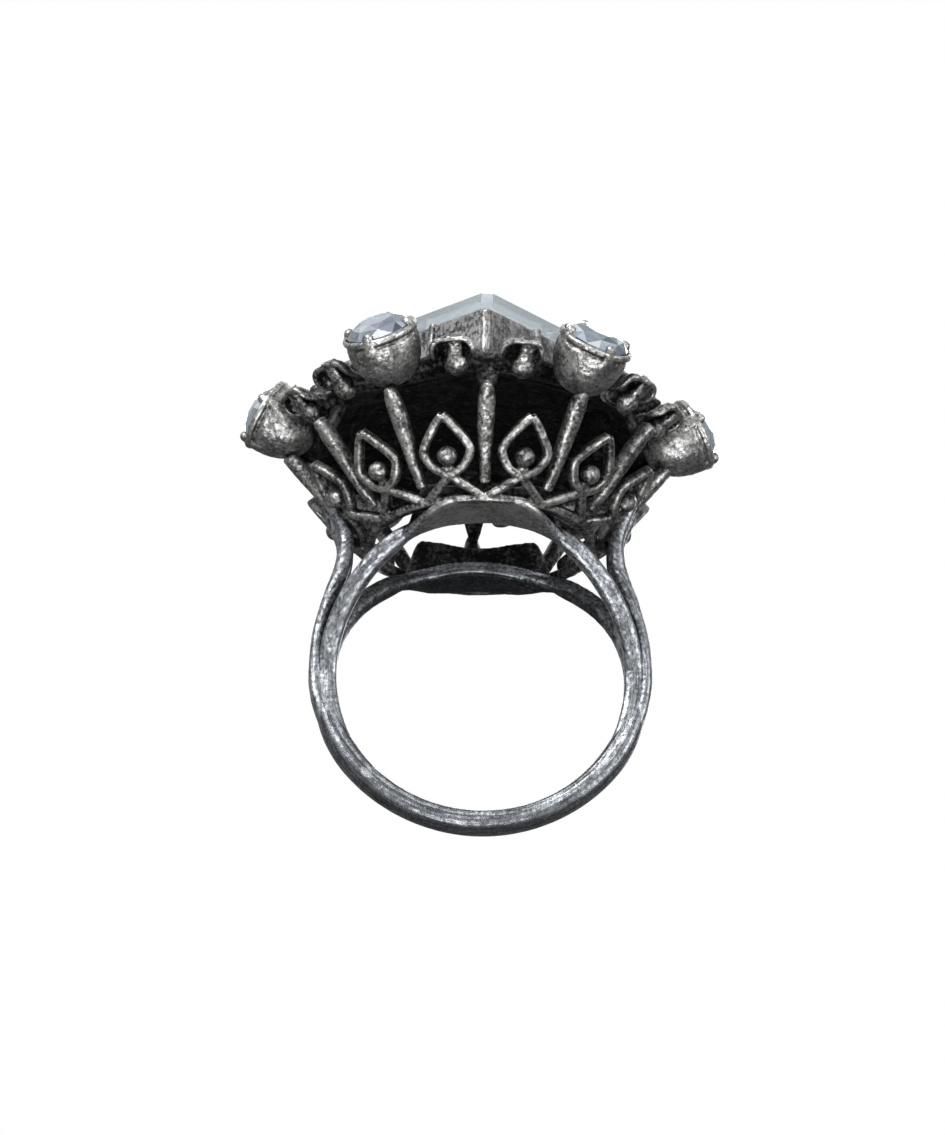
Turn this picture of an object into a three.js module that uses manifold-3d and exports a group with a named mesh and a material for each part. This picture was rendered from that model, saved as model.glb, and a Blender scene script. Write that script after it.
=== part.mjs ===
// Cocktail ring: a split band under a flared openwork gallery that carries twelve petals,
// six tilted round stones and a raised square centre stone set with a corner to the front.
// Millimetres. +Z up, +X to the wearer's right, -Y is the front. The finger axis is parallel to Y.
// The origin is the lowest point of the band, under the middle of the head.
import * as THREE from 'three';
import { mergeVertices } from 'three/addons/utils/BufferGeometryUtils.js';
import Module from 'manifold-3d';

const wasm = await Module();
wasm.setup();

const DEG = Math.PI / 180;
const GAP = 0.06; // clearance between pieces that are soldered or set against each other

// ---- Driving dimensions ----
const FINGER_R = 8.65; // inside radius of the band
const BAND_W = 1.9; // width of the band along the finger
const BAND_T = 1.4; // thickness of the band at its lowest point
const BAND_T_SIDE = 1.77; // thickness of the band at its sides
const BAND_BEVEL = 0.42; // rounding of the band's edges
const REST_CUT = 0.08; // depth of the small worn flat under the band
const FINGER_Z = FINGER_R + BAND_T - REST_CUT; // height of the finger's axis

const WIRE_R = 0.55; // the two wires that cross over the finger
const WIRE_SPREAD = 4.2; // how far each wire moves out along the finger by the top
const SPLIT_ANGLE = 8; // where the band splits, degrees above the finger's axis
const BRIDGE_IN = 4.0; // the bridges, measured from the middle along the finger
const BRIDGE_OUT = 6.2;
const BRIDGE_T = 0.85;
const COLLAR = { thick: 0.6, topZ: 10.55, endZ: 10.9, endX: 3.0, halfX: 5.0 }; // wall on each bridge
const BRIDGE_SPAN = 28; // half the bridge's arc, degrees
const SHOULDER = { lowR: 0.3, highR: 0.5 }; // the outer wires thicken as they rise

const COUNT = 12; // fins, arches and petals round the head
const STEP = 360 / COUNT;
const STRIP_R = 0.28; // half the thickness of the gallery's strips
const RIM = { r: 6.72, z: 9.0, half: 0.32 };
const CROSSING = { r: 8.13, z: 9.89 };
const APEX = { r: 10.45, z: 12.82 };
const BALL = { r: 0.6, along: 1.25 }; // along: distance up the slope from the crossing
const ARCH_HALF = 1.42;

// A fin, from its tip at the bottom to its top: widest at the waist. Those under a cup are shorter.
const FIN = { tipR: 7.78, tipZ: 9.25, topR: 11.9, topZ: 14.19, depth: 0.9, shorter: 0.8 };
const FIN_HALF = { tip: 0.15, waist: 0.46, top: 0.28, waistAt: 0.66 };

const GUSSET = { low: 14.0, high: 15.5, lowHalf: 0.2, highHalf: 0.5, outR: 11.2, depth: 0.75 };

const PLATE = { edgeR: 9.6, edgeZ: 15.8, midR: 6.6, midZ: 17.9, topZ: 18.0, thick: 0.8 };
const PETAL = { r: 11.2, z: 15.44, dip: 50, spread: 10 }; // dip: how far it faces down, degrees
const BOWL = { halfW: 1.35, halfH: 1.65, depth: 1.1, wall: 0.28 };
const BULB = { r: 0.6, long: 1.45, flat: 0.9, y: -0.35, z: -0.45 };
const RIB = { width: 0.5, length: 1.2, thick: 0.4, y: 0.8, z: -0.4 };
const CUP = { r: 12.9, z: 16.95, rim: 2.3, deep: 3.4, lip: 0.12, bead: 0.4, beadZ: 0.2 };
const CUP_TILT = { side: 60, less: 18 }; // degrees from straight up; less of it at the front and back
const STONE = { r: 2.02, crown: 0.66, pavilion: 0.93, girdle: 0.17, table: 1.2 };
const CROWN_LEAN = 1.9; // the settings lean a little to one side, degrees
const CROWN_RISE = 0.55; // how much higher they stand at the front and back than at the sides

const CENTRE = { corner: 6.3, cut: 5.95, low: 21.9, high: 22.93, keel: 19.4, keelCorner: 0.6 };
const TABLE = { z: 23.6, corner: 4.4 };
const SETTING = { base: 18.1, wall: 0.5, notch: 0.8, rib: 0.6, ribDepth: 0.5 };

// ---- Materials ----
const metal = (name, color, roughness) =>
  new THREE.MeshStandardMaterial({ name, color, roughness, metalness: 0.9 });
const bandMetal = () => metal('band_metal', 0x83888c, 0.42);
const castMetal = () => metal('cast_metal', 0x62625f, 0.55);
const darkMetal = () => metal('dark_metal', 0x2b2b2c, 0.7);
const glass = () =>
  new THREE.MeshStandardMaterial({ name: 'glass', color: 0xb9cad6, roughness: 0.08, metalness: 0.1 });

// ---- Solids ----
const solid = (geometry) => {
  const bare = geometry.clone();
  bare.deleteAttribute('normal');
  bare.deleteAttribute('uv');
  const merged = mergeVertices(bare, 1e-5);
  return new wasm.Manifold(
    new wasm.Mesh({
      numProp: 3,
      vertProperties: new Float32Array(merged.attributes.position.array),
      triVerts: new Uint32Array(merged.index.array),
    }),
  );
};

const geometryOf = (body) => {
  const { vertProperties, triVerts } = body.getMesh();
  const geometry = new THREE.BufferGeometry();
  geometry.setAttribute('position', new THREE.BufferAttribute(vertProperties, 3));
  geometry.setIndex(new THREE.BufferAttribute(triVerts, 1));
  geometry.computeVertexNormals();
  return geometry;
};

const join = (geometries) => geometries.map(solid).reduce((all, one) => all.add(one));

const ring = new THREE.Group();
const place = (name, geometry, material, parent = ring) => {
  const mesh = new THREE.Mesh(geometry, material);
  mesh.name = name;
  parent.add(mesh);
  return mesh;
};

// A point at an angle round the head (0 is the front, positive to the right), a radius and a
// height above the finger's axis.
const polar = (angle, r, z) =>
  new THREE.Vector3(r * Math.sin(angle * DEG), -r * Math.cos(angle * DEG), z + FINGER_Z);

const roundSection = (r, sides) => {
  const corners = Array.from({ length: sides }, (_, i) => {
    const a = (i / sides) * 2 * Math.PI;
    return new THREE.Vector2(r * Math.cos(a), r * Math.sin(a));
  });
  return new THREE.Shape(corners);
};

const tube = (points, r, sides, steps) =>
  new THREE.ExtrudeGeometry(roundSection(r, sides), {
    steps,
    extrudePath: new THREE.CatmullRomCurve3(points, false, 'centripetal'),
  });

// Turns a shape drawn in X-Z, with its depth along +Y from y0.
const standUp = (geometry, y0, depth) => geometry.rotateX(Math.PI / 2).translate(0, y0 + depth, FINGER_Z);

// ---- Band ----
const hoopGeometry = () => {
  const from = SPLIT_ANGLE * DEG;
  const outerX = FINGER_R + BAND_T_SIDE;
  const outerZ = FINGER_R + BAND_T;
  const shape = new THREE.Shape();
  shape.absellipse(0, 0, outerX - BAND_BEVEL, outerZ - BAND_BEVEL, Math.PI - from, from, false);
  shape.absellipse(0, 0, FINGER_R + BAND_BEVEL, FINGER_R + BAND_BEVEL, from, Math.PI - from, true);
  const depth = BAND_W - 2 * BAND_BEVEL;
  const geometry = new THREE.ExtrudeGeometry(shape, {
    depth,
    curveSegments: 26,
    bevelThickness: BAND_BEVEL,
    bevelSize: BAND_BEVEL,
    bevelSegments: 2,
  });
  const upright = standUp(geometry, -depth / 2, depth);
  const floor = new THREE.BoxGeometry(8, 8, 4).translate(0, 0, -2);
  return geometryOf(solid(upright).subtract(solid(floor)));
};

// How far from the middle the wire runs, at an angle above the finger's axis.
const wireSpread = (angle) => WIRE_R + GAP / 2 + WIRE_SPREAD * Math.sin(angle * DEG) ** 2;

// The gallery's lower rim, a square-edged ring, grown by a clearance when it is used to cut.
const rimGeometry = (grow) => {
  const h = RIM.half + grow;
  const corners = [[-h, -h], [h, -h], [h, h], [-h, h], [-h, -h]];
  const profile = corners.map(([dr, dz]) => new THREE.Vector2(RIM.r + dr, RIM.z + dz));
  return new THREE.LatheGeometry(profile, 36).rotateX(Math.PI / 2).translate(0, 0, FINGER_Z);
};

// The upright wall on the inner edge of a bridge. Its top dips a little in the middle.
const collarGeometry = (y0) => {
  const { thick, topZ, endZ, endX, halfX } = COLLAR;
  const foot = FINGER_R + 0.02;
  const footAngle = Math.acos(halfX / foot);
  const shape = new THREE.Shape();
  shape.absarc(0, 0, foot, footAngle, Math.PI - footAngle, false);
  shape.quadraticCurveTo(-halfX, endZ, -endX, endZ);
  shape.quadraticCurveTo(0, 2 * topZ - endZ, endX, endZ);
  shape.quadraticCurveTo(halfX, endZ, halfX, foot * Math.sin(footAngle));
  const wall = new THREE.ExtrudeGeometry(shape, { depth: thick, curveSegments: 8, bevelEnabled: false });
  return standUp(wall, y0, thick);
};

const saddleGeometry = (side) => {
  const first = SPLIT_ANGLE + 4;
  const count = 15;
  const radius = FINGER_R + WIRE_R;
  const points = Array.from({ length: count }, (_, i) => {
    const a = first + (i / (count - 1)) * (180 - 2 * first);
    const along = radius * Math.cos(a * DEG);
    return new THREE.Vector3(along, side * wireSpread(a), radius * Math.sin(a * DEG) + FINGER_Z);
  });
  const arc = new THREE.Shape();
  const low = (90 - BRIDGE_SPAN) * DEG;
  const high = (90 + BRIDGE_SPAN) * DEG;
  arc.absarc(0, 0, FINGER_R + BRIDGE_T, low, high, false);
  arc.absarc(0, 0, FINGER_R + 0.02, high, low, true);
  const depth = BRIDGE_OUT - BRIDGE_IN;
  const plate = new THREE.ExtrudeGeometry(arc, { depth, curveSegments: 12, bevelEnabled: false });
  const y0 = side > 0 ? BRIDGE_IN : -BRIDGE_OUT;
  const wallY = side > 0 ? BRIDGE_IN : -BRIDGE_IN - COLLAR.thick;
  const saddle = join([tube(points, WIRE_R, 8, 20), standUp(plate, y0, depth), collarGeometry(wallY)]);
  return geometryOf(saddle.subtract(solid(rimGeometry(GAP))));
};

// A tapered bar along a path: a capped cylinder whose rings follow the path.
const taperedBar = (points, radiusAt, sides, steps) => {
  const path = new THREE.CatmullRomCurve3(points, false, 'centripetal');
  const frames = path.computeFrenetFrames(steps, false);
  const bar = new THREE.CylinderGeometry(1, 1, 1, sides, steps);
  const position = bar.attributes.position;
  for (let i = 0; i < position.count; i++) {
    const t = 0.5 - position.getY(i);
    const row = Math.round(t * steps);
    const r = radiusAt(t);
    const point = path
      .getPointAt(t)
      .addScaledVector(frames.normals[row], r * position.getX(i))
      .addScaledVector(frames.binormals[row], r * position.getZ(i));
    position.setXYZ(i, point.x, point.y, point.z);
  }
  return bar;
};

const shoulderGeometry = (sideX, sideY) => {
  const route = [
    [9.93, 0.38, 1.9],
    [9.68, 0.46, 3.2],
    [9.1, 0.56, 5.0],
    [8.32, 0.66, 7.2],
    [8.25, 0.74, 8.8],
    [8.7, 0.84, 9.9],
  ];
  const points = route.map(([x, y, z]) => new THREE.Vector3(sideX * x, sideY * y, z + FINGER_Z));
  const radiusAt = (t) => SHOULDER.lowR + (SHOULDER.highR - SHOULDER.lowR) * Math.min(1, 2 * t);
  return taperedBar(points, radiusAt, 8, 8);
};

// ---- Gallery ----
// A point on the gallery's slope: across is the distance to the right of an arch's middle, along
// is the distance up the slope from where the arch's legs cross.
const slopePoint = (angle, across, along) => {
  const end = along < 0 ? RIM : APEX;
  const length = Math.hypot(end.r - CROSSING.r, end.z - CROSSING.z);
  const share = Math.abs(along) / length;
  const r = CROSSING.r + share * (end.r - CROSSING.r);
  const z = CROSSING.z + share * (end.z - CROSSING.z);
  return polar(angle + across / r / DEG, r, z);
};

const archHalf = (angle, side) => {
  const height = Math.hypot(APEX.r - CROSSING.r, APEX.z - CROSSING.z);
  const drop = Math.hypot(RIM.r - CROSSING.r, RIM.z - CROSSING.z);
  const legFoot = RIM.r * (STEP / 2) * DEG;
  const route = [
    [legFoot, -drop],
    [0, 0],
    [-0.67 * ARCH_HALF, 0.14 * height],
    [-ARCH_HALF, 0.45 * height],
    [-0.6 * ARCH_HALF, 0.77 * height],
    [0, height],
  ];
  return tube(route.map(([across, along]) => slopePoint(angle, side * across, along)), STRIP_R, 5, 7);
};

const rod = (from, to, r, sides) => {
  const length = from.distanceTo(to);
  const turn = new THREE.Quaternion().setFromUnitVectors(
    new THREE.Vector3(0, 1, 0),
    to.clone().sub(from).normalize(),
  );
  const middle = from.clone().lerp(to, 0.5);
  return new THREE.CylinderGeometry(r, r, length, sides)
    .applyQuaternion(turn)
    .translate(middle.x, middle.y, middle.z);
};

const archGeometries = (angle) => {
  const ball = slopePoint(angle, 0, BALL.along);
  return [
    archHalf(angle, 1),
    archHalf(angle, -1),
    rod(slopePoint(angle, 0, 0), ball, STRIP_R, 5),
    new THREE.SphereGeometry(BALL.r, 6, 4).translate(ball.x, ball.y, ball.z),
  ];
};

const basketGeometry = () => {
  const pieces = [rimGeometry(0)];
  for (let i = 0; i < COUNT; i++) {
    pieces.push(...archGeometries((i + 0.5) * STEP));
  }
  return geometryOf(join(pieces));
};

// A tapered fin that leans out with the gallery's slope: drawn as seen from outside, with its
// depth running inwards. A free fin has a gusset, and one that ends under a cup is shorter.
const finGeometry = (isFree) => {
  const { tip, waist, top, waistAt } = FIN_HALF;
  const full = Math.hypot(FIN.topR - FIN.tipR, FIN.topZ - FIN.tipZ);
  const length = isFree ? full : full - FIN.shorter;
  const shape = new THREE.Shape();
  shape.moveTo(-tip, tip);
  shape.absarc(0, tip, tip, Math.PI, 2 * Math.PI, false);
  shape.lineTo(waist, waistAt * full);
  shape.lineTo(top, length - top);
  shape.absarc(0, length - top, top, 0, Math.PI, false);
  shape.lineTo(-waist, waistAt * full);
  shape.closePath();
  const fin = new THREE.ExtrudeGeometry(shape, { depth: FIN.depth, curveSegments: 4, bevelEnabled: false });
  const lean = Math.atan2(FIN.topR - FIN.tipR, FIN.topZ - FIN.tipZ);
  fin
    .translate(0, 0, -FIN.depth)
    .rotateX(Math.PI / 2 + lean)
    .translate(0, -FIN.tipR, FIN.tipZ + FINGER_Z);
  return isFree ? geometryOf(join([fin, gussetGeometry()])) : fin;
};

// The web behind a free fin's top, which widens upwards to the plate.
const gussetGeometry = () => {
  const { low, high, lowHalf, highHalf, outR, depth } = GUSSET;
  const shape = new THREE.Shape();
  shape.moveTo(-lowHalf, low);
  shape.lineTo(lowHalf, low);
  shape.lineTo(highHalf, high);
  shape.lineTo(-highHalf, high);
  shape.closePath();
  const web = new THREE.ExtrudeGeometry(shape, { depth, bevelEnabled: false });
  return web.rotateX(Math.PI / 2).translate(0, depth - outR, FINGER_Z);
};

// ---- Head ----
const plateGeometry = () => {
  const { edgeR, edgeZ, midR, midZ, topZ, thick } = PLATE;
  const profile = [
    [0, topZ - thick],
    [midR, midZ - thick],
    [edgeR, edgeZ],
    [edgeR, edgeZ + thick],
    [midR, midZ],
    [0, topZ],
  ];
  return new THREE.LatheGeometry(profile.map(([r, z]) => new THREE.Vector2(r, z)), 36)
    .rotateX(Math.PI / 2)
    .translate(0, 0, FINGER_Z);
};

// A shallow oval bowl that opens along +Z, with a rib and a bulb in its hollow. +Y is its upper end.
const petalGeometry = () => {
  const { halfW, halfH, depth, wall } = BOWL;
  const outside = 3;
  const profile = [];
  for (let i = 0; i <= outside; i++) {
    const a = (i / outside) * 90 * DEG;
    profile.push(new THREE.Vector2(halfW * Math.sin(a), -depth * Math.cos(a)));
  }
  for (let i = outside; i >= 0; i--) {
    const a = (i / outside) * 90 * DEG;
    profile.push(new THREE.Vector2((halfW - wall) * Math.sin(a), -(depth - wall) * Math.cos(a)));
  }
  const bowl = new THREE.LatheGeometry(profile, 10).rotateX(Math.PI / 2).scale(1, halfH / halfW, 1);
  const bulb = new THREE.SphereGeometry(BULB.r, 6, 4)
    .scale(1, BULB.long, BULB.flat)
    .translate(0, BULB.y, BULB.z);
  const rib = new THREE.BoxGeometry(RIB.width, RIB.length, RIB.thick).translate(0, RIB.y, RIB.z);
  return geometryOf(join([bowl, bulb, rib]));
};

const stoneProfile = (grow) => {
  const { r, crown, pavilion, girdle, table } = STONE;
  const wide = r + grow;
  return [
    new THREE.Vector2(0, -pavilion - grow),
    new THREE.Vector2(wide, -grow),
    new THREE.Vector2(wide, girdle),
    new THREE.Vector2(table + grow, girdle + crown + grow),
    new THREE.Vector2(0, girdle + crown + grow),
  ];
};

const stoneGeometry = (grow = 0) => new THREE.LatheGeometry(stoneProfile(grow), 12).rotateX(Math.PI / 2);

const cupGeometry = () => {
  const { rim, deep, lip, bead, beadZ } = CUP;
  const rows = 3;
  const profile = [];
  for (let i = 0; i <= rows; i++) {
    const a = (i / rows) * 90 * DEG;
    profile.push(new THREE.Vector2(rim * Math.sin(a), -deep * Math.cos(a)));
  }
  profile.push(new THREE.Vector2(rim, lip), new THREE.Vector2(0, lip));
  const bowl = new THREE.LatheGeometry(profile, 12).rotateX(Math.PI / 2);
  const beads = Array.from({ length: 4 }, (_, i) => {
    const a = i * 90 * DEG;
    return new THREE.SphereGeometry(bead, 6, 4).translate(rim * Math.cos(a), rim * Math.sin(a), beadZ);
  });
  return geometryOf(join([bowl, ...beads]).subtract(solid(stoneGeometry(GAP))));
};

// A square bar with its corners on the X and Y axes, between two heights.
const squareBar = (cornerLow, cornerHigh, low, high) =>
  new THREE.CylinderGeometry(cornerHigh, cornerLow, high - low, 4)
    .rotateX(Math.PI / 2)
    .translate(0, 0, (low + high) / 2 + FINGER_Z);

const cutCorners = (body, reach) => {
  const box = new THREE.BoxGeometry(2 * reach, 2 * reach, 100);
  return body.intersect(solid(box));
};

const centreStoneGeometry = () => {
  const { corner, cut, low, high, keel, keelCorner } = CENTRE;
  const inset = corner - 2 * SETTING.wall;
  const body = join([
    squareBar(keelCorner, inset, keel, low + 0.01),
    squareBar(corner, corner, low, high),
    squareBar(corner, TABLE.corner, high - 0.001, TABLE.z),
  ]);
  return geometryOf(cutCorners(body, cut));
};

const settingGeometry = () => {
  const { corner, cut, low } = CENTRE;
  const { base, wall, notch, rib, ribDepth } = SETTING;
  const top = low - GAP;
  let body = solid(squareBar(corner, corner, base, top));
  body = body.subtract(solid(squareBar(corner - 1.414 * wall, corner - 1.414 * wall, base - 1, top + 1)));
  body = cutCorners(body, cut);
  for (let i = 0; i < 4; i++) {
    const a = i * 90 * DEG;
    const bar = new THREE.BoxGeometry(ribDepth, rib, top - base)
      .translate(cut - 0.2, 0, (top + base) / 2 + FINGER_Z)
      .rotateZ(a);
    const cutter = new THREE.CylinderGeometry(notch / 2, notch / 2, 3, 8)
      .rotateZ(Math.PI / 2)
      .translate(corner / Math.SQRT2, 0, top + FINGER_Z)
      .rotateZ(a + 45 * DEG);
    body = body.add(solid(bar)).subtract(solid(cutter));
  }
  return geometryOf(body);
};

// ---- Assembly ----
const numbered = (prefix, i) => `${prefix}_${String(i).padStart(2, '0')}`;

place('shank_hoop', hoopGeometry(), bandMetal());
place('front_saddle', saddleGeometry(-1), bandMetal());
place('back_saddle', saddleGeometry(1), bandMetal());
place('shoulder_left_front', shoulderGeometry(-1, -1), bandMetal());
place('shoulder_left_back', shoulderGeometry(-1, 1), bandMetal());
place('shoulder_right_front', shoulderGeometry(1, -1), bandMetal());
place('shoulder_right_back', shoulderGeometry(1, 1), bandMetal());
place('gallery_basket', basketGeometry(), castMetal());

for (let i = 0; i < COUNT; i++) {
  const isFree = i % 2 === 0;
  place(numbered('fin', i), finGeometry(isFree), castMetal()).rotation.z = i * STEP * DEG;
}

place('head_plate', plateGeometry(), darkMetal());

// The crown holds everything that leans together on top of the head.
const crown = new THREE.Group();
const leanPivot = new THREE.Vector3(0, 0, CUP.z + FINGER_Z);
crown.position.copy(leanPivot);
crown.rotation.y = CROWN_LEAN * DEG;
ring.add(crown);

// Puts a piece that faces +Z on the crown, at an angle round the head, facing out at a tilt from
// straight up.
const onCrown = (name, geometry, material, angle, r, z, tilt) => {
  const mesh = place(name, geometry, material, crown);
  const rise = CROWN_RISE * Math.abs(Math.cos(angle * DEG));
  mesh.position.copy(polar(angle, r, z + rise).sub(leanPivot));
  mesh.rotation.order = 'ZXY';
  mesh.rotation.z = angle * DEG;
  mesh.rotation.x = tilt * DEG;
  return mesh;
};

for (let i = 0; i < COUNT; i++) {
  const pair = 2 * STEP * Math.floor(i / 2);
  const angle = pair + (i % 2 === 0 ? -PETAL.spread : PETAL.spread);
  onCrown(numbered('petal', i), petalGeometry(), castMetal(), angle, PETAL.r, PETAL.z, 90 + PETAL.dip);
}

for (let i = 0; i < COUNT / 2; i++) {
  const angle = (2 * i + 1) * STEP;
  const tilt = CUP_TILT.side - CUP_TILT.less * Math.abs(Math.cos(angle * DEG));
  onCrown(`cup_${i}`, cupGeometry(), castMetal(), angle, CUP.r, CUP.z, tilt);
  onCrown(`round_stone_${i}`, stoneGeometry(), glass(), angle, CUP.r, CUP.z, tilt);
}

const onTop = (name, geometry, material) => {
  place(name, geometry.translate(0, 0, -leanPivot.z), material, crown);
};
onTop('centre_setting', settingGeometry(), darkMetal());
onTop('centre_stone', centreStoneGeometry(), glass());

export default ring;
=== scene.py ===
"""The looks of the cocktail ring: antiqued cast metal, tilted round stones and a square centre stone.

Shapes are worked out in millimetres, in the part's own frame, and become metres when a mesh is made.
"""
import math
import random

import bmesh
import bpy
from mathutils import Euler, Matrix, Vector, noise


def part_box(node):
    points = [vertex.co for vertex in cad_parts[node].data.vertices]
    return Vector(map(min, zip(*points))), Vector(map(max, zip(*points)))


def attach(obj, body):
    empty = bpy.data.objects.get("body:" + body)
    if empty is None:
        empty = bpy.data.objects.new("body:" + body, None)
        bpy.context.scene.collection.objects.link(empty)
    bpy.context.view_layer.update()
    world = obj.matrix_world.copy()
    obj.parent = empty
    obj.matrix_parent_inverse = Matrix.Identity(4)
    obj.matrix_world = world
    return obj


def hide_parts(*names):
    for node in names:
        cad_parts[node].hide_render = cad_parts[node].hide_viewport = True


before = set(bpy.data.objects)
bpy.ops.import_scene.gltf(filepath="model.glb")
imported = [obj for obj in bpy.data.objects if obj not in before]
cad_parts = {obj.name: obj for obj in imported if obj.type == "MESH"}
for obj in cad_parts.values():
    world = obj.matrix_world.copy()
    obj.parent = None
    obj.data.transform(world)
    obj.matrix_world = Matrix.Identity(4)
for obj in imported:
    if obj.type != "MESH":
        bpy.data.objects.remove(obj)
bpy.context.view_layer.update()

MM = 0.001
UP = Vector((0, 0, 1))


# ---- The part's own dimensions in millimetres, taken from the frame where it gives them ----
def box_mm(node):
    low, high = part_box(node)
    return low / MM, high / MM


def box_centre(node):
    low, high = box_mm(node)
    return (low + high) / 2


# The band: _T is a thickness away from the finger, _W a width along it. REST_CUT is the worn flat's depth.
HOOP_SIDE_T = 1.77
HOOP_LOW_T = 1.4
HOOP_W = 1.9
REST_CUT = 0.08
FINGER_R = box_mm("shank_hoop")[1].x - HOOP_SIDE_T
FINGER_Z = FINGER_R + HOOP_LOW_T - REST_CUT

# The wires: how far each lies from the band's middle plane at the sides, how much further over the
# finger, its centre line's radius, and the angle up the finger's side where its tapered end begins.
WIRE_APART = 0.58
WIRE_SPREAD = 4.0
WIRE_R = FINGER_R + 0.58
TONGUE_ANGLE = 52

# The bridges: half the angle that each spans, its centre line's radius, and how far its inner edge is
# from the band's middle plane.
BRIDGE_SPAN = 37
BRIDGE_R = FINGER_R + 0.44
BRIDGE_INNER_FRONT, BRIDGE_INNER_BACK = 3.15, 4.05

# The gallery: radii and heights of its rim, of the crossings of the legs and of the arches' points, an
# arch's half width, and the direction that the slope faces.
COUNT = 12
STEP = 360 / COUNT
RIM_R, RIM_Z = 6.72, 9.0
CROSS_R, CROSS_Z = 8.13, 9.89
APEX_R, APEX_Z = 10.45, 12.82
ARCH_HALF = 1.42
SLOPE_OUT, SLOPE_DOWN = 0.78, 0.62

# The fins: radius and height of both ends, half widths along the fin, and how much longer the odd ones are.
FIN_TIP = (7.78, 9.25)
FIN_TOP = (11.9, 14.19)
FIN_TIP_HALF, FIN_WAIST_HALF, FIN_TOP_HALF = 0.33, 0.54, 0.36
FIN_DEPTH = 0.95
FIN_LONGER = 0.25

# The petals: turned to either side of every other fin, and facing down by PETAL_DIP degrees.
PETAL_W, PETAL_H, PETAL_DEPTH = 1.5, 1.75, 1.05
PETAL_WALL = 0.26
PETAL_DIP = 50
PETAL_TURN = 10

# The settings. A cup rises by CUP_RISE degrees, and by up to CUP_RISE_MORE more towards front and back.
# The centre setting's square has its corners at CENTRE_CORNER, cut off square at CENTRE_CUT.
CUP_R, CUP_DEEP = 2.25, 3.4
CUP_RISE, CUP_RISE_MORE = 30, 18
STONE_R = 2.05
LEAN = math.radians(1.9)
CENTRE_CORNER, CENTRE_CUT = 6.3, 5.95
SETTING_TOP, SETTING_LOW = 1.87, -2.2
SETTING_WALL = 0.5


# ---- Vector helpers ----
def polar(angle, r, z):
    """A point round the head: angle 0 is the front and grows to the right; z is from the finger's axis."""
    a = math.radians(angle)
    return Vector((r * math.sin(a), -r * math.cos(a), z + FINGER_Z))


def outward(angle, rise=0.0):
    """The direction out from the head's axis, turned up by rise degrees."""
    a, e = math.radians(angle), math.radians(rise)
    return Vector((math.sin(a) * math.cos(e), -math.cos(a) * math.cos(e), math.sin(e)))


def smooth_path(points, count):
    """Points along a centripetal curve through the given ones, evenly spaced by length."""
    ends = [points[0] * 2 - points[1]] + list(points) + [points[-1] * 2 - points[-2]]
    dense = []
    for i in range(len(points) - 1):
        p = ends[i:i + 4]
        knots = [0.0]
        for j in range(3):
            knots.append(knots[-1] + max(1e-6, (p[j + 1] - p[j]).length ** 0.5))
        for step in range(24):
            t = knots[1] + (knots[2] - knots[1]) * step / 24
            a = [p[j].lerp(p[j + 1], (t - knots[j]) / (knots[j + 1] - knots[j])) for j in range(3)]
            b = [a[j].lerp(a[j + 1], (t - knots[j]) / (knots[j + 2] - knots[j])) for j in range(2)]
            dense.append(b[0].lerp(b[1], (t - knots[1]) / (knots[2] - knots[1])))
    dense.append(points[-1].copy())
    lengths = [0.0]
    for a, b in zip(dense, dense[1:]):
        lengths.append(lengths[-1] + (b - a).length)
    out, j = [], 0
    for i in range(count):
        want = lengths[-1] * i / (count - 1)
        while j < len(dense) - 2 and lengths[j + 1] < want:
            j += 1
        span = lengths[j + 1] - lengths[j]
        out.append(dense[j].lerp(dense[j + 1], (want - lengths[j]) / span if span else 0))
    return out


def ease(t):
    t = min(1.0, max(0.0, t))
    return t * t * (3 - 2 * t)


# ---- Mesh helpers: a body is a list of points in millimetres and a list of faces ----
def rounded(half_w, half_d, sides, power):
    """The outline of a bar's section: an ellipse at power 2, squarer above it."""
    out = []
    for i in range(sides):
        a = 2 * math.pi * (i + 0.5) / sides
        c, s = math.cos(a), math.sin(a)
        out.append((half_w * math.copysign(abs(c) ** (2 / power), c),
                    half_d * math.copysign(abs(s) ** (2 / power), s)))
    return out


def bar(path, facing, size_at, sides=16, power=2.6, groove=0.0):
    """A closed bar along a path. facing gives the direction of its face at a point, and size_at its half
    width and half depth at a share of its length. groove sinks a line along both of its edges."""
    rows = len(path)
    points, faces = [], []
    for i, p in enumerate(path):
        tangent = (path[min(i + 1, rows - 1)] - path[max(i - 1, 0)]).normalized()
        face = facing(p)
        face = (face - tangent * face.dot(tangent)).normalized()
        side = tangent.cross(face)
        half_w, half_d = size_at(i / (rows - 1))
        for x, y in rounded(half_w, half_d, sides, power):
            sink = 1 - groove * math.exp(-((y / half_d + 0.3) / 0.16) ** 2)
            points.append(p + side * (x * sink) + face * y)
    for i in range(rows - 1):
        for k in range(sides):
            n = (k + 1) % sides
            faces.append((i * sides + k, i * sides + n, (i + 1) * sides + n, (i + 1) * sides + k))
    faces.append(tuple(reversed(range(sides))))
    faces.append(tuple((rows - 1) * sides + k for k in range(sides)))
    return points, faces


def end_round(t, reach):
    """1 along a bar, falling to a small value in a quarter circle over reach at both ends."""
    edge = min(t, 1 - t) / reach
    return 1.0 if edge >= 1 else max(0.12, math.sqrt(max(0.0, 1 - (1 - edge) ** 2)))


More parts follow.
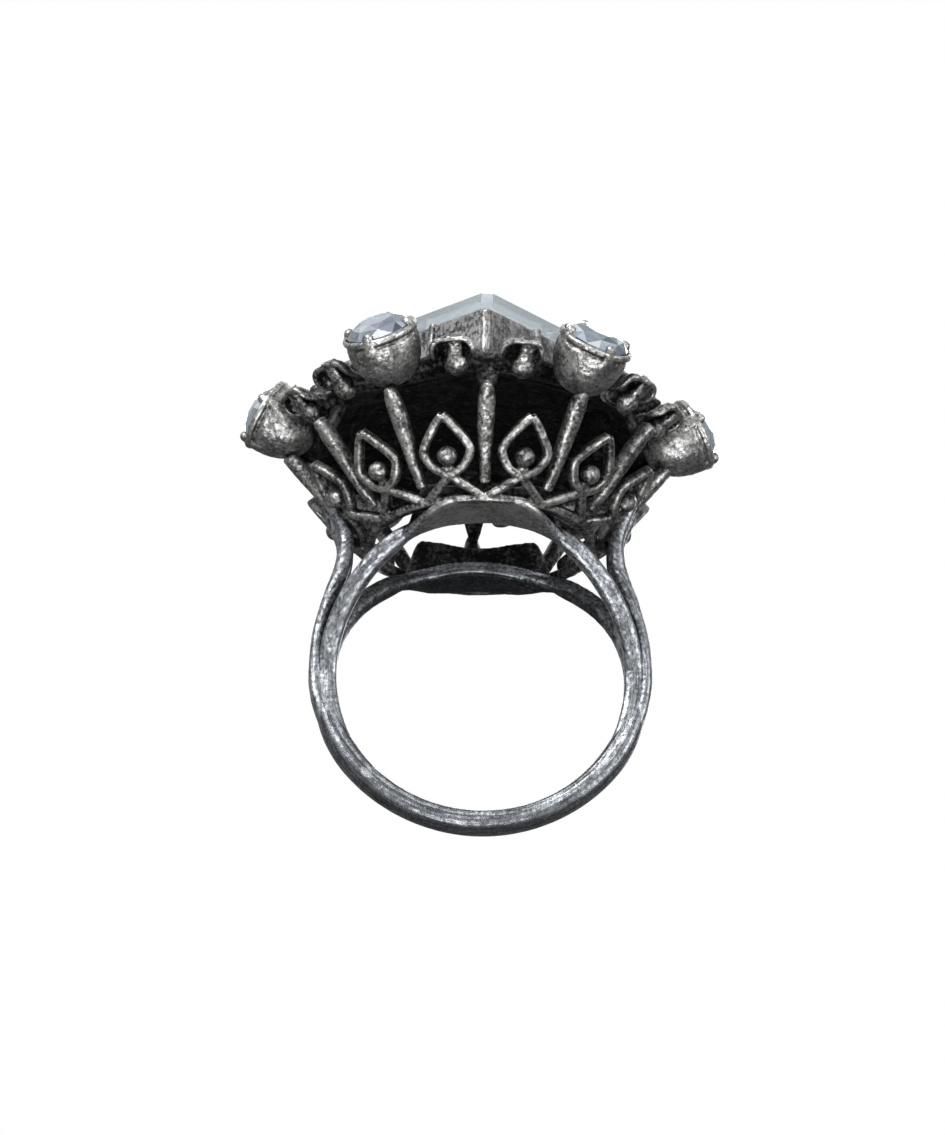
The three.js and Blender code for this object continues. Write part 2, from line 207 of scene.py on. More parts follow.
def lathe(profile, sides):
    """A body turned about Z. A profile point on the axis closes it."""
    points, rings, faces = [], [], []
    for r, z in profile:
        if r < 1e-6:
            rings.append([len(points)])
            points.append(Vector((0, 0, z)))
            continue
        ring = []
        for k in range(sides):
            a = 2 * math.pi * k / sides
            ring.append(len(points))
            points.append(Vector((r * math.cos(a), r * math.sin(a), z)))
        rings.append(ring)
    for a, b in zip(rings, rings[1:]):
        for k in range(sides):
            n = (k + 1) % sides
            corners = [a[k % len(a)], a[n % len(a)], b[n % len(b)], b[k % len(b)]]
            kept = [c for c, before in zip(corners, corners[-1:] + corners[:-1]) if c != before]
            if len(kept) > 2:
                faces.append(tuple(kept))
    return points, faces


def ball(centre, radii, sides=20, rows=12):
    profile = [(math.sin(math.pi * i / rows), -math.cos(math.pi * i / rows)) for i in range(rows + 1)]
    profile[0], profile[-1] = (0, -1), (0, 1)
    points, faces = lathe(profile, sides)
    return [Vector((p.x * radii[0], p.y * radii[1], p.z * radii[2])) + centre for p in points], faces


def moved(body, matrix):
    return [matrix @ p for p in body[0]], body[1]


def make(name, bodies):
    points, faces = [], []
    for body_points, body_faces in bodies:
        base = len(points)
        points += [p * MM for p in body_points]
        faces += [tuple(base + i for i in face) for face in body_faces]
    mesh = bpy.data.meshes.new(name)
    mesh.from_pydata(points, [], faces)
    mesh.validate()
    piece = bpy.data.objects.new(name, mesh)
    bpy.context.scene.collection.objects.link(piece)
    return piece


def settle(piece):
    """Applies a piece's modifiers to its mesh."""
    depsgraph = bpy.context.evaluated_depsgraph_get()
    mesh = bpy.data.meshes.new_from_object(piece.evaluated_get(depsgraph))
    piece.modifiers.clear()
    piece.data = mesh


def cast(name, bodies, voxel, rough, seed):
    """Bodies run together into one soft-edged casting, with an uneven hand-finished surface."""
    piece = make(name, bodies)
    remesh = piece.modifiers.new("remesh", "REMESH")
    remesh.mode = "VOXEL"
    remesh.voxel_size = voxel * MM
    smooth = piece.modifiers.new("smooth", "SMOOTH")
    smooth.factor = 0.5
    smooth.iterations = 2
    settle(piece)
    unevenness(piece, rough, seed)
    piece.data.shade_smooth()
    return piece


def unevenness(piece, depth, seed):
    """Moves the surface in and out a little, up to about depth."""
    shift = Vector((seed * 3.7, seed * 1.3, seed * 2.1))
    mesh = piece.data
    normals = [v.normal.copy() for v in mesh.vertices]
    for v, normal in zip(mesh.vertices, normals):
        spot = v.co / MM + shift
        amount = noise.noise(spot * 1.3) + 0.6 * noise.noise(spot * 4.1)
        v.co += normal * (amount * depth * MM)


def placed(piece, node):
    """Gives a piece its body, and hides the CAD node that it stands for."""
    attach(piece, "root")
    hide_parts(node)


def finished(piece, material, node):
    piece.data.materials.clear()
    piece.data.materials.append(material)
    placed(piece, node)


# ---- Materials ----
class Nodes:
    """A short way to build a material's nodes."""

    def __init__(self, name):
        self.material = bpy.data.materials.new(name)
        self.material.use_nodes = True
        self.tree = self.material.node_tree
        self.shader = self.tree.nodes["Principled BSDF"]

    def add(self, kind, **values):
        node = self.tree.nodes.new(kind)
        for key, value in values.items():
            setattr(node, key, value)
        return node

    def join(self, a, b):
        self.tree.links.new(a, b)

    def math(self, operation, a, b, clamp=False):
        node = self.add("ShaderNodeMath", operation=operation, use_clamp=clamp)
        for socket, value in zip(node.inputs, (a, b)):
            if isinstance(value, (int, float)):
                socket.default_value = value
            else:
                self.join(value, socket)
        return node.outputs[0]

    def remap(self, value, low, high, to_low=0.0, to_high=1.0):
        node = self.add("ShaderNodeMapRange")
        self.join(value, node.inputs["Value"])
        for name, number in (("From Min", low), ("From Max", high), ("To Min", to_low), ("To Max", to_high)):
            node.inputs[name].default_value = number
        return node.outputs[0]

    def blend(self, share, a, b):
        node = self.add("ShaderNodeMix", data_type="RGBA")
        self.join(share, node.inputs[0])
        for socket, value in ((node.inputs[6], a), (node.inputs[7], b)):
            if isinstance(value, tuple):
                socket.default_value = (*value, 1)
            else:
                self.join(value, socket)
        return node.outputs[2]

    def noise(self, vector, scale, detail=5.0, roughness=0.6):
        node = self.add("ShaderNodeTexNoise")
        node.inputs["Scale"].default_value = scale
        node.inputs["Detail"].default_value = detail
        node.inputs["Roughness"].default_value = roughness
        self.join(vector, node.inputs["Vector"])
        return node.outputs["Fac"]

    def bump(self, height, distance, strength, normal=None):
        node = self.add("ShaderNodeBump")
        node.inputs["Distance"].default_value = distance
        node.inputs["Strength"].default_value = strength
        self.join(height, node.inputs["Height"])
        if normal is not None:
            self.join(normal, node.inputs["Normal"])
        return node.outputs["Normal"]


def along_band(nodes, place):
    """Coordinates that run round the finger, so that a noise on them draws long lines along the band."""
    split = nodes.add("ShaderNodeSeparateXYZ")
    nodes.join(place, split.inputs[0])
    x, y, z = split.outputs
    height = nodes.math("SUBTRACT", z, FINGER_Z * MM)
    radius = nodes.math("SQRT", nodes.math("ADD", nodes.math("MULTIPLY", x, x),
                                           nodes.math("MULTIPLY", height, height)), 0)
    turn = nodes.math("ARCTAN2", height, x)
    packed = nodes.add("ShaderNodeCombineXYZ")
    nodes.join(radius, packed.inputs[0])
    nodes.join(y, packed.inputs[1])
    nodes.join(nodes.math("MULTIPLY", turn, 0.0006), packed.inputs[2])
    return packed.outputs[0]


def finger_side_shade(nodes, place):
    """1 on the faces turned towards the finger over it, where painted shade darkens the metal."""
    middle = nodes.add("ShaderNodeVectorMath", operation="SUBTRACT")
    nodes.join(place, middle.inputs[0])
    middle.inputs[1].default_value = (0, 0, FINGER_Z * MM)
    flat = nodes.add("ShaderNodeVectorMath", operation="MULTIPLY")
    nodes.join(middle.outputs[0], flat.inputs[0])
    flat.inputs[1].default_value = (1, 0, 1)
    ray = nodes.add("ShaderNodeVectorMath", operation="NORMALIZE")
    nodes.join(flat.outputs[0], ray.inputs[0])
    dot = nodes.add("ShaderNodeVectorMath", operation="DOT_PRODUCT")
    nodes.join(ray.outputs[0], dot.inputs[0])
    nodes.join(nodes.add("ShaderNodeNewGeometry").outputs["Normal"], dot.inputs[1])
    inward = nodes.remap(dot.outputs["Value"], -0.15, -0.75)
    split = nodes.add("ShaderNodeSeparateXYZ")
    nodes.join(middle.outputs[0], split.inputs[0])
    high = nodes.remap(split.outputs[2], 2.5 * MM, 6 * MM)
    return nodes.math("MULTIPLY", inward, high)


def antiqued(name, dark, middle, bright, patina_and_shade, wear, band=False, inner_shade=0.0, under_shade=0.0):
    """Antiqued metal: dark in the hollows, grey on the faces, bright on the worn edges, with a fine
    pitted grain. patina_and_shade darkens the whole surface: patina on the cast metals, and painted shade
    on the darker copy for parts in shadow. wear is how far the bright spreads. inner_shade and under_shade
    are painted shade: how much darker the faces turned to the finger and those turned down are made."""
    nodes = Nodes(name)
    place = nodes.add("ShaderNodeTexCoord").outputs["Object"]
    blotch = nodes.noise(place, 900)
    grain = nodes.noise(place, 4200, 4, 0.7)
    fine = nodes.noise(place, 12000, 2, 0.6)
    shade = nodes.add("ShaderNodeAmbientOcclusion", samples=6)
    shade.inputs["Distance"].default_value = 2.0 * MM
    hidden = nodes.remap(shade.outputs["AO"], 0.92, 0.35)
    edge = nodes.remap(nodes.add("ShaderNodeNewGeometry").outputs["Pointiness"], 0.495, 0.56)
    patches = 0.2 if band else 0.4
    uneven = nodes.remap(blotch, 0.3, 0.7, -patches, patches)
    speck = nodes.remap(grain, 0.35, 0.65, -0.4, 0.4)
    mottle = nodes.math("ADD", uneven, speck)
    patina_and_shade_share = nodes.math("ADD", nodes.math("MULTIPLY", hidden, 1.5), mottle)
    # Painted shade: the faces turned to the finger over it are darkened.
    if inner_shade:
        inward = nodes.math("MULTIPLY", finger_side_shade(nodes, place), inner_shade)
        patina_and_shade_share = nodes.math("ADD", patina_and_shade_share, inward)
    # Painted shade: the faces turned down are darkened.
    if under_shade:
        normal = nodes.add("ShaderNodeSeparateXYZ")
        nodes.join(nodes.add("ShaderNodeNewGeometry").outputs["Normal"], normal.inputs[0])
        patina_and_shade_share = nodes.math("ADD", patina_and_shade_share, nodes.remap(normal.outputs[2], 0.4, -0.2, 0, under_shade))
    # A flat darkening over the whole surface: patina on the cast metals, painted shade on the darker copy for
    # parts in shadow.
    patina_and_shade_share = nodes.math("ADD", patina_and_shade_share, patina_and_shade, clamp=True)
    worn = nodes.math("ADD", nodes.math("MULTIPLY", edge, 0.9), nodes.math("MULTIPLY", mottle, -0.7))
    worn = nodes.math("ADD", worn, wear, clamp=True)
    worn = nodes.math("MULTIPLY", worn, nodes.math("SUBTRACT", 1.0, nodes.math("MULTIPLY", patina_and_shade_share, 0.8)))
    colour = nodes.blend(patina_and_shade_share, middle, dark)
    colour = nodes.blend(worn, colour, bright)
    height = nodes.math("ADD", grain, nodes.math("MULTIPLY", fine, 0.5))
    if band:
        streak = nodes.noise(along_band(nodes, place), 7000, 3, 0.6)
        height = nodes.math("ADD", nodes.math("MULTIPLY", height, 0.4), streak)
        colour = nodes.blend(nodes.remap(streak, 0.4, 0.68, 0, 0.75), colour, dark)
    nodes.join(colour, nodes.shader.inputs["Base Color"])
    nodes.join(nodes.remap(patina_and_shade_share, 0, 1, 0.38, 0.62), nodes.shader.inputs["Roughness"])
    nodes.shader.inputs["Metallic"].default_value = 0.92
    pits = nodes.bump(nodes.remap(blotch, 0.35, 0.6), 0.00006, 0.22)
    nodes.join(nodes.bump(height, 0.00006, 0.45, pits), nodes.shader.inputs["Normal"])
    return nodes.material


def facet_tint_and_reflection(nodes, colours):
    """A colour for each facet, from the random number that the mesh holds for it: partly the stone's tint,
    partly a painted reflection that makes some facets dark and some bright.
    """
    facet = nodes.add("ShaderNodeAttribute", attribute_name="facet").outputs["Fac"]
    ramp = nodes.add("ShaderNodeValToRGB")
    ramp.color_ramp.interpolation = "LINEAR"
    stops = ramp.color_ramp.elements
    while len(stops) < len(colours):
        stops.new(0.5)
    for i, colour in enumerate(colours):
        stops[i].position = i / (len(colours) - 1)
        stops[i].color = (*colour, 1)
    nodes.join(facet, ramp.inputs[0])
    return ramp.outputs[0]


def clear_glass(name, colours, clarity):
    """Glass whose facets each have their own colour: the glass's tint with a painted reflection, some
    facets dark and some bright. clarity is the share of light that goes through.
    """
    nodes = Nodes(name)
    place = nodes.add("ShaderNodeTexCoord").outputs["Object"]
    tint_and_reflection = facet_tint_and_reflection(nodes, colours)
    nodes.join(tint_and_reflection, nodes.shader.inputs["Base Color"])
    nodes.shader.inputs["Transmission Weight"].default_value = clarity
    nodes.shader.inputs["IOR"].default_value = 1.56
    haze = nodes.noise(place, 1500)
    nodes.join(nodes.remap(haze, 0.45, 0.8, 0.0, 0.03), nodes.shader.inputs["Roughness"])
    nodes.join(nodes.bump(nodes.noise(place, 700, 2), 0.00001, 0.04), nodes.shader.inputs["Normal"])
    return nodes.material


def foil(name, colours, dull_colour, metallic):
    """The silvered back of a stone, seen through it. Each facet's colour is partly the foil's tint and partly
    a painted reflection.
    """
    nodes = Nodes(name)
    place = nodes.add("ShaderNodeTexCoord").outputs["Object"]
    tint_and_reflection = facet_tint_and_reflection(nodes, colours)
    dull = nodes.noise(place, 1200)
    nodes.join(nodes.blend(nodes.remap(dull, 0.5, 0.8), tint_and_reflection, dull_colour), nodes.shader.inputs["Base Color"])
    nodes.shader.inputs["Metallic"].default_value = metallic
    nodes.join(nodes.remap(dull, 0.3, 0.8, 0.04, 0.2), nodes.shader.inputs["Roughness"])
    return nodes.material


# Each metal's colours in the hollows, on the faces and on the worn edges.
BAND_SHADES = ((0.012, 0.013, 0.015), (0.18, 0.19, 0.205), (0.6, 0.63, 0.66))
LIT_BRIDGE_SHADES = ((0.015, 0.015, 0.015), (0.26, 0.26, 0.258), (0.55, 0.55, 0.54))
CAST_SHADES = ((0.008, 0.008, 0.009), (0.105, 0.105, 0.103), (0.52, 0.52, 0.505))
CUP_SHADES = ((0.015, 0.015, 0.015), (0.18, 0.18, 0.177), (0.58, 0.58, 0.57))
SHADOW_METAL_SHADES = ((0.004, 0.004, 0.0045), (0.08, 0.08, 0.08), (0.45, 0.45, 0.45))
WALL_SHADES = ((0.01, 0.01, 0.011), (0.12, 0.12, 0.12), (0.5, 0.5, 0.5))
BAND = antiqued("band_metal", *BAND_SHADES, patina_and_shade=0.0, wear=0.07, band=True)
# The back saddle's band metal: the same colours, with painted shade darkening its faces turned to the finger.
SHADED_BACK_BAND = antiqued("shaded_back_band_metal", *BAND_SHADES, patina_and_shade=0.0, wear=0.12, band=True, inner_shade=1.5)
# Painted light: a lighter copy of the metal for the front bridge's top, to offset the shade that falls on it.
LIT_BRIDGE = antiqued("lit_bridge_metal", *LIT_BRIDGE_SHADES, patina_and_shade=0.0, wear=0.0)
CAST = antiqued("cast_metal", *CAST_SHADES, patina_and_shade=0.16, wear=0.0)
BRIGHT = antiqued("cup_metal", *CUP_SHADES, patina_and_shade=0.02, wear=0.07)
# Painted shade: a darker copy of the metal for the plate's underside and the collar's inner wall, which lie
# in shadow, darker still on faces turned down.
SHADOW_METAL = antiqued("dark_metal", *SHADOW_METAL_SHADES, patina_and_shade=0.3, wear=0.0, under_shade=1.6)
WALL = antiqued("setting_metal", *WALL_SHADES, patina_and_shade=0.0, wear=0.05)

# The facets' colours run from one of these to the next: partly the stones' own pale tint, partly painted
# reflection in the dark and bright facets.
PALE_TINTS_AND_REFLECTIONS = [(0.42, 0.49, 0.56), (0.60, 0.66, 0.70), (0.52, 0.59, 0.60), (0.66, 0.69, 0.75)]
DEEP_TINTS_AND_REFLECTIONS = [(0.04, 0.06, 0.08), (0.55, 0.63, 0.70), (0.14, 0.18, 0.23), (0.90, 0.93, 0.95),
              (0.18, 0.24, 0.24), (0.34, 0.35, 0.42)]
FOIL_TINTS_AND_REFLECTIONS = [(0.10, 0.15, 0.22), (0.85, 0.92, 1.0), (0.30, 0.42, 0.42), (0.95, 0.98, 1.0),
               (0.45, 0.42, 0.62), (0.65, 0.78, 0.88)]
PALE_FOIL_TINTS_AND_REFLECTIONS = [(0.70, 0.80, 0.90), (0.95, 0.98, 1.0), (0.82, 0.90, 0.90), (0.88, 0.86, 0.96)]
PALE_GLASS = clear_glass("pale_glass", PALE_TINTS_AND_REFLECTIONS, clarity=0.55)
GLASS = clear_glass("clear_glass", DEEP_TINTS_AND_REFLECTIONS, clarity=0.55)
FOIL = foil("stone_foil", FOIL_TINTS_AND_REFLECTIONS, dull_colour=(0.3, 0.35, 0.4), metallic=1.0)
PALE_FOIL = foil("centre_foil", PALE_FOIL_TINTS_AND_REFLECTIONS, dull_colour=(0.75, 0.8, 0.84), metallic=0.15)


# ---- Band ----
def hoop():
    """The lower band. Its ends thin out between the wires that it splits into."""
    past_level = 18
    rows = 150
    path, sizes = [], []
    for i in range(rows):
        a = 180 - past_level + (180 + 2 * past_level) * i / (rows - 1)
        height = math.sin(math.radians(a))
        side = 1 - ease(-height)
        thick = HOOP_LOW_T + (HOOP_SIDE_T - HOOP_LOW_T) * side
        r = FINGER_R + thick / 2
        path.append(Vector((r * math.cos(math.radians(a)), 0, r * height + FINGER_Z)))
        fade = 1 - 0.75 * ease((height + 0.6) / 0.9)
        sizes.append((HOOP_W / 2 * fade, thick / 2 * fade))
    centre = Vector((0, 0, FINGER_Z))
    body = bar(path, lambda p: (p - centre).normalized(),
               lambda t: sizes[round(t * (rows - 1))], sides=36, power=2.5, groove=0.13)
    points = [Vector((p.x, p.y, max(0.0, p.z))) for p in body[0]]
    piece = make("shank_hoop_fine", [(points, body[1])])
    unevenness(piece, 0.006, 1)
    for v in piece.data.vertices:
        v.co.z = max(0.0, v.co.z)
    piece.data.shade_smooth()
    finished(piece, BAND, "shank_hoop")


def saddle(name, side, seed):
    """A wire up each side of the finger whose tapered end lies on a broad bridge over it."""
    path, sizes = [], []
    rows = 200
    first = -75
    for i in range(rows):
        a = first + (180 - 2 * first) * i / (rows - 1)
        low = min(a, 180 - a)
        s = math.sin(math.radians(a))
        over = s * s if s > 0 else 0
        grow = ease((low - first) / 70)
        tongue = 1 - 0.8 * ease((low - TONGUE_ANGLE) / 16)
        half_t = (0.18 + 0.4 * grow) * (0.5 + 0.5 * tongue)
        half_w = (0.14 + 0.22 * grow + 0.2 * ease(s / 0.25)) * tongue
        spread = WIRE_APART - 0.22 * (1 - ease(low / 20)) + WIRE_SPREAD * over
        path.append(Vector((WIRE_R * math.cos(math.radians(a)), side * spread, WIRE_R * s + FINGER_Z)))
        sizes.append((half_w, half_t))

    def facing(p):
        return Vector((p.x, 0, p.z - FINGER_Z)).normalized()

    wire = bar(path, facing, lambda t: sizes[round(t * (rows - 1))], sides=24, power=2.9)
    bodies = [wire, bridge(side, facing), collar(side)]
    piece = cast(name + "_fine", bodies, voxel=0.07, rough=0.018, seed=seed)
    # The back saddle takes the band metal's copy with painted shade on its inner faces.
    finished(piece, BAND if side < 0 else SHADED_BACK_BAND, name)
    # Painted shade: the collar's upper wall, which lies in shadow, takes the darker copy of the metal.
    piece.data.materials.append(SHADOW_METAL)
    # Painted light: the front bridge's top takes a lighter copy of the metal, to offset its shade.
    piece.data.materials.append(LIT_BRIDGE)
    shaded_wall, lightened_bridge = 1, 2
    for face in piece.data.polygons:
        middle = face.center / MM
        above = math.hypot(middle.x, middle.z - FINGER_Z) > FINGER_R + 0.95
        if above and abs(middle.x) < 5.2 and middle.z > FINGER_Z + 8:
            face.material_index = shaded_wall
        elif side < 0 and abs(middle.x) < 3.5 and middle.z > FINGER_Z + 6.4:
            face.material_index = lightened_bridge


def bridge(side, facing):
    """The flat band over the finger. Its outer edge follows the gallery's rim, and its ends run into
    the wire."""
    path, sizes = [], []
    rows = 70
    inner_middle = BRIDGE_INNER_FRONT if side < 0 else BRIDGE_INNER_BACK
    end_half = 0.3
    for i in range(rows):
        a = 90 - BRIDGE_SPAN + 2 * BRIDGE_SPAN * i / (rows - 1)
        x = BRIDGE_R * math.cos(math.radians(a))
        height = math.sin(math.radians(a))
        outer = math.sqrt(max(1.0, (RIM_R + 0.3) ** 2 - 1.25 * x * x))
        inner = inner_middle - 0.95 * ((a - 90) / BRIDGE_SPAN) ** 2
        full = ease(min(i, rows - 1 - i) / (0.35 * rows))
        wire = WIRE_APART + WIRE_SPREAD * height * height
        middle = wire + ((outer + inner) / 2 - wire) * full
        path.append(Vector((x, side * middle, BRIDGE_R * height + FINGER_Z)))
        sizes.append((end_half + ((outer - inner) / 2 - end_half) * full, end_half + 0.13 * full))
    return bar(path, facing, lambda t: sizes[round(t * (rows - 1))], sides=24, power=2.8)


def collar(side):
    """The upright wall on a bridge's inner edge, with rounded shoulders and a slightly dipped top."""
    half_x, thick, inner = 4.9, 0.5, 4.0
    columns, rows = 48, 8
    points, faces = [], []
    for layer in (inner, inner + thick):
        for i in range(columns + 1):
            x = half_x * (2 * i / columns - 1)
            foot = math.sqrt(FINGER_R ** 2 - x * x) + 0.25
            share = abs(x) / half_x
            dipped = 10.72 - 0.175 * math.cos(math.pi * min(1, share / 0.62))
            top = foot + 0.1 + (dipped - foot - 0.1) * ease((1 - share) / 0.3)
            for j in range(rows + 1):
                z = foot + (top - foot) * j / rows
                points.append(Vector((x, side * (layer - 0.75 * share ** 4), z + FINGER_Z)))
    sheet = (columns + 1) * (rows + 1)

    def at(layer, i, j):
        return layer * sheet + i * (rows + 1) + j

    for i in range(columns):
        for j in range(rows):
            quad = [(i, j), (i + 1, j), (i + 1, j + 1), (i, j + 1)]
            faces.append(tuple(at(0, *c) for c in quad))
            faces.append(tuple(at(1, *c) for c in reversed(quad)))
        faces.append((at(0, i, 0), at(1, i, 0), at(1, i + 1, 0), at(0, i + 1, 0)))
        faces.append((at(0, i, rows), at(0, i + 1, rows), at(1, i + 1, rows), at(1, i, rows)))
    for j in range(rows):
        faces.append((at(0, 0, j), at(0, 0, j + 1), at(1, 0, j + 1), at(1, 0, j)))
        faces.append((at(0, columns, j), at(1, columns, j), at(1, columns, j + 1), at(0, columns, j + 1)))
    return points, faces


def shoulder(name, side_x, side_y, seed):
    """An outer wire: from the side of the band, in past the finger and out again to the gallery."""
    route = [(7.9, 0.24, -5.5), (9.3, 0.28, -3.1), (9.9, 0.32, -0.6), (9.92, 0.35, 1.0), (9.76, 0.4, 2.6),
             (9.17, 0.52, 4.75), (8.36, 0.7, 6.9), (8.16, 0.82, 8.1), (8.22, 0.92, 9.2), (8.6, 1.04, 10.3),
             (9.05, 1.14, 11.4), (9.3, 1.2, 12.1)]
    points = [Vector((side_x * x, side_y * y, z + FINGER_Z)) for x, y, z in route]
    path = smooth_path(points, 90)

    def size(t):
        half = 0.18 + 0.2 * ease(t / 0.28) + 0.12 * ease((t - 0.45) / 0.3)
        return half * end_round(t, 0.03), half * end_round(t, 0.03)

    wire = bar(path, lambda p: Vector((side_x, 0, 0.15)), size, sides=20, power=2.3)
    piece = cast(name + "_fine", [wire], voxel=0.07, rough=0.02, seed=seed)
    finished(piece, BAND, name)


# ---- Gallery ----
def slope_point(angle, across, along):
    """A point on the gallery's slope, from where an arch's legs cross: across to the right, along up."""
    end_r, end_z = (RIM_R, RIM_Z) if along < 0 else (APEX_R, APEX_Z)
    share = abs(along) / math.hypot(end_r - CROSS_R, end_z - CROSS_Z)
    r = CROSS_R + share * (end_r - CROSS_R)
    z = CROSS_Z + share * (end_z - CROSS_Z)
    return polar(angle + math.degrees(across / r), r, z)


def slope_facing(p):
    flat = Vector((p.x, p.y, 0)).normalized()
    return (flat * SLOPE_OUT - UP * SLOPE_DOWN).normalized()


def arch_half(angle, side):
    """Half of an arch: from the rim up across the other leg, out to the widest point and in to the top."""
    height = math.hypot(APEX_R - CROSS_R, APEX_Z - CROSS_Z)
    drop = math.hypot(RIM_R - CROSS_R, RIM_Z - CROSS_Z)
    foot = RIM_R * math.radians(STEP / 2)
    route = [(foot, -drop), (0.45 * foot, -0.45 * drop), (0, 0), (-0.6 * ARCH_HALF, 0.14 * height),
             (-ARCH_HALF, 0.40 * height), (-0.94 * ARCH_HALF, 0.5 * height),
             (-0.62 * ARCH_HALF, 0.7 * height), (-0.28 * ARCH_HALF, 0.88 * height), (0, height)]
    points = [slope_point(angle, side * across, along) for across, along in route]
    path = smooth_path(points, 60)
    return bar(path, slope_facing, lambda t: (0.3 - 0.03 * t, 0.34), sides=12, power=3.2)


def basket():
    """The rim, the arches, and the small ball on a stem inside each arch."""
    profile = [(RIM_R - 0.34, RIM_Z - 0.3), (RIM_R + 0.2, RIM_Z - 0.34), (RIM_R + 0.36, RIM_Z),
               (RIM_R + 0.2, RIM_Z + 0.3), (RIM_R - 0.3, RIM_Z + 0.3), (RIM_R - 0.34, RIM_Z - 0.3)]
    ring, ring_faces = lathe(profile, 120)
    bodies = [([p + UP * FINGER_Z for p in ring], ring_faces)]
    for i in range(COUNT):
        angle = (i + 0.5) * STEP
        bodies += [arch_half(angle, 1), arch_half(angle, -1)]
        seat = slope_point(angle, 0, 1.22)
        stem = [slope_point(angle, 0, -0.1), slope_point(angle, 0, 0.6), seat]
        bodies.append(bar(smooth_path(stem, 12), slope_facing, lambda t: (0.42 - 0.12 * t, 0.3), sides=10))
        bodies.append(ball(seat + slope_facing(seat) * 0.12, (0.62, 0.62, 0.6)))
    piece = cast("gallery_basket_fine", bodies, voxel=0.075, rough=0.02, seed=5)
    finished(piece, CAST, "gallery_basket")


def fin(i):
    """A tapered fin: narrow and round at the top, widest at its waist, with a soft ridge on its face."""
    angle = i * STEP
    tip = polar(angle, *FIN_TIP)
    top = polar(angle, *FIN_TOP)
    lean = (top - tip).normalized()
    if i % 2:
        top += lean * FIN_LONGER
    face = outward(angle)
    face = (face - lean * face.dot(lean)).normalized()
    side = lean.cross(face)
    rows = 60
    chance = random.Random(100 + i)
    bend = chance.uniform(-0.08, 0.08)
    shift = chance.uniform(-0.1, 0.1)
    waist = chance.uniform(0.72, 0.8)
    path = []
    for k in range(rows):
        t = k / (rows - 1)
        sway = bend * math.sin(math.pi * t) + shift * t
        path.append(tip.lerp(top, t) + side * sway - face * (FIN_DEPTH / 2))

    def size(t):
        half = FIN_TIP_HALF + (FIN_WAIST_HALF - FIN_TIP_HALF) * ease(t / waist)
        half -= (FIN_WAIST_HALF - FIN_TOP_HALF) * ease((t - waist) / (1.02 - waist))
        depth = FIN_DEPTH / 2 * (0.45 + 0.55 * ease(t / 0.3))
        return half * end_round(t, 0.09 if t > 0.5 else 0.035), depth * end_round(t, 0.03)

    ridge = bar(path, lambda p: face, size, sides=24, power=2.5)
    piece = cast(f"fin_{i:02d}_fine", [ridge], voxel=0.06, rough=0.025, seed=20 + i)
    finished(piece, CAST, f"fin_{i:02d}")


def gusset(angle):
    """The web behind a free fin, which widens upwards to the plate."""
    low = polar(angle, 10.8, 13.6)
    high = polar(angle, 9.9, 15.9)
    path = [low.lerp(high, k / 11) for k in range(12)]
    return bar(path, lambda p: outward(angle), lambda t: (0.14 + 0.75 * t, 0.3), sides=12, power=4)


# ---- Head ----
def facing_matrix(centre, direction, up_hint):
    """Turns +Z to a direction and +Y as near as possible to up_hint, and moves the origin to centre."""
    z = direction.normalized()
    y = (up_hint - z * up_hint.dot(z)).normalized()
    x = y.cross(z)
    return Matrix.Translation(centre) @ Matrix((x, y, z)).transposed().to_4x4()


def lean_turned(direction):
    """All the settings lean together by a little about Y."""
    return Euler((0, LEAN, 0)).to_matrix() @ direction


def scoop(wide, tall):
    """A petal's shell: a hollow with a rolled lip on its outer half, and open at its root."""
    floor_out, floor_in = -PETAL_DEPTH, PETAL_WALL - PETAL_DEPTH
    rows = 10
    turns = [math.pi / 2 * k / rows for k in range(rows + 1)]
    rings = [(math.sin(a), floor_out * math.cos(a), floor_out) for a in turns]
    for a in (20, 60, 100, 140):
        turn = math.radians(a)
        rings.append((0.9 + 0.11 * math.cos(turn), 0.03 + 0.16 * math.sin(turn), (floor_out + floor_in) / 2))
    rings += [(0.8 * math.sin(a), floor_in * math.cos(a), floor_in) for a in reversed(turns)]
    rings[0], rings[-1] = (0, floor_out, floor_out), (0, floor_in, floor_in)
    points, faces = lathe([(r, z) for r, z, _ in rings], 48)
    floors = []
    for r, _, base in rings:
        floors += [base] * (1 if r < 1e-6 else 48)
    out = []
    for p, base in zip(points, floors):
        open_share = ease((0.45 - p.y) / 0.9)
        lobe = 1 - 0.1 * math.cos(4 * math.atan2(p.x, p.y)) * math.hypot(p.x, p.y)
        length = tall * lobe * (1 if p.y > 0 else 0.7)
        out.append(Vector((p.x * wide * lobe, p.y * length, p.z * (1 - open_share) + base * open_share)))
    return out, faces


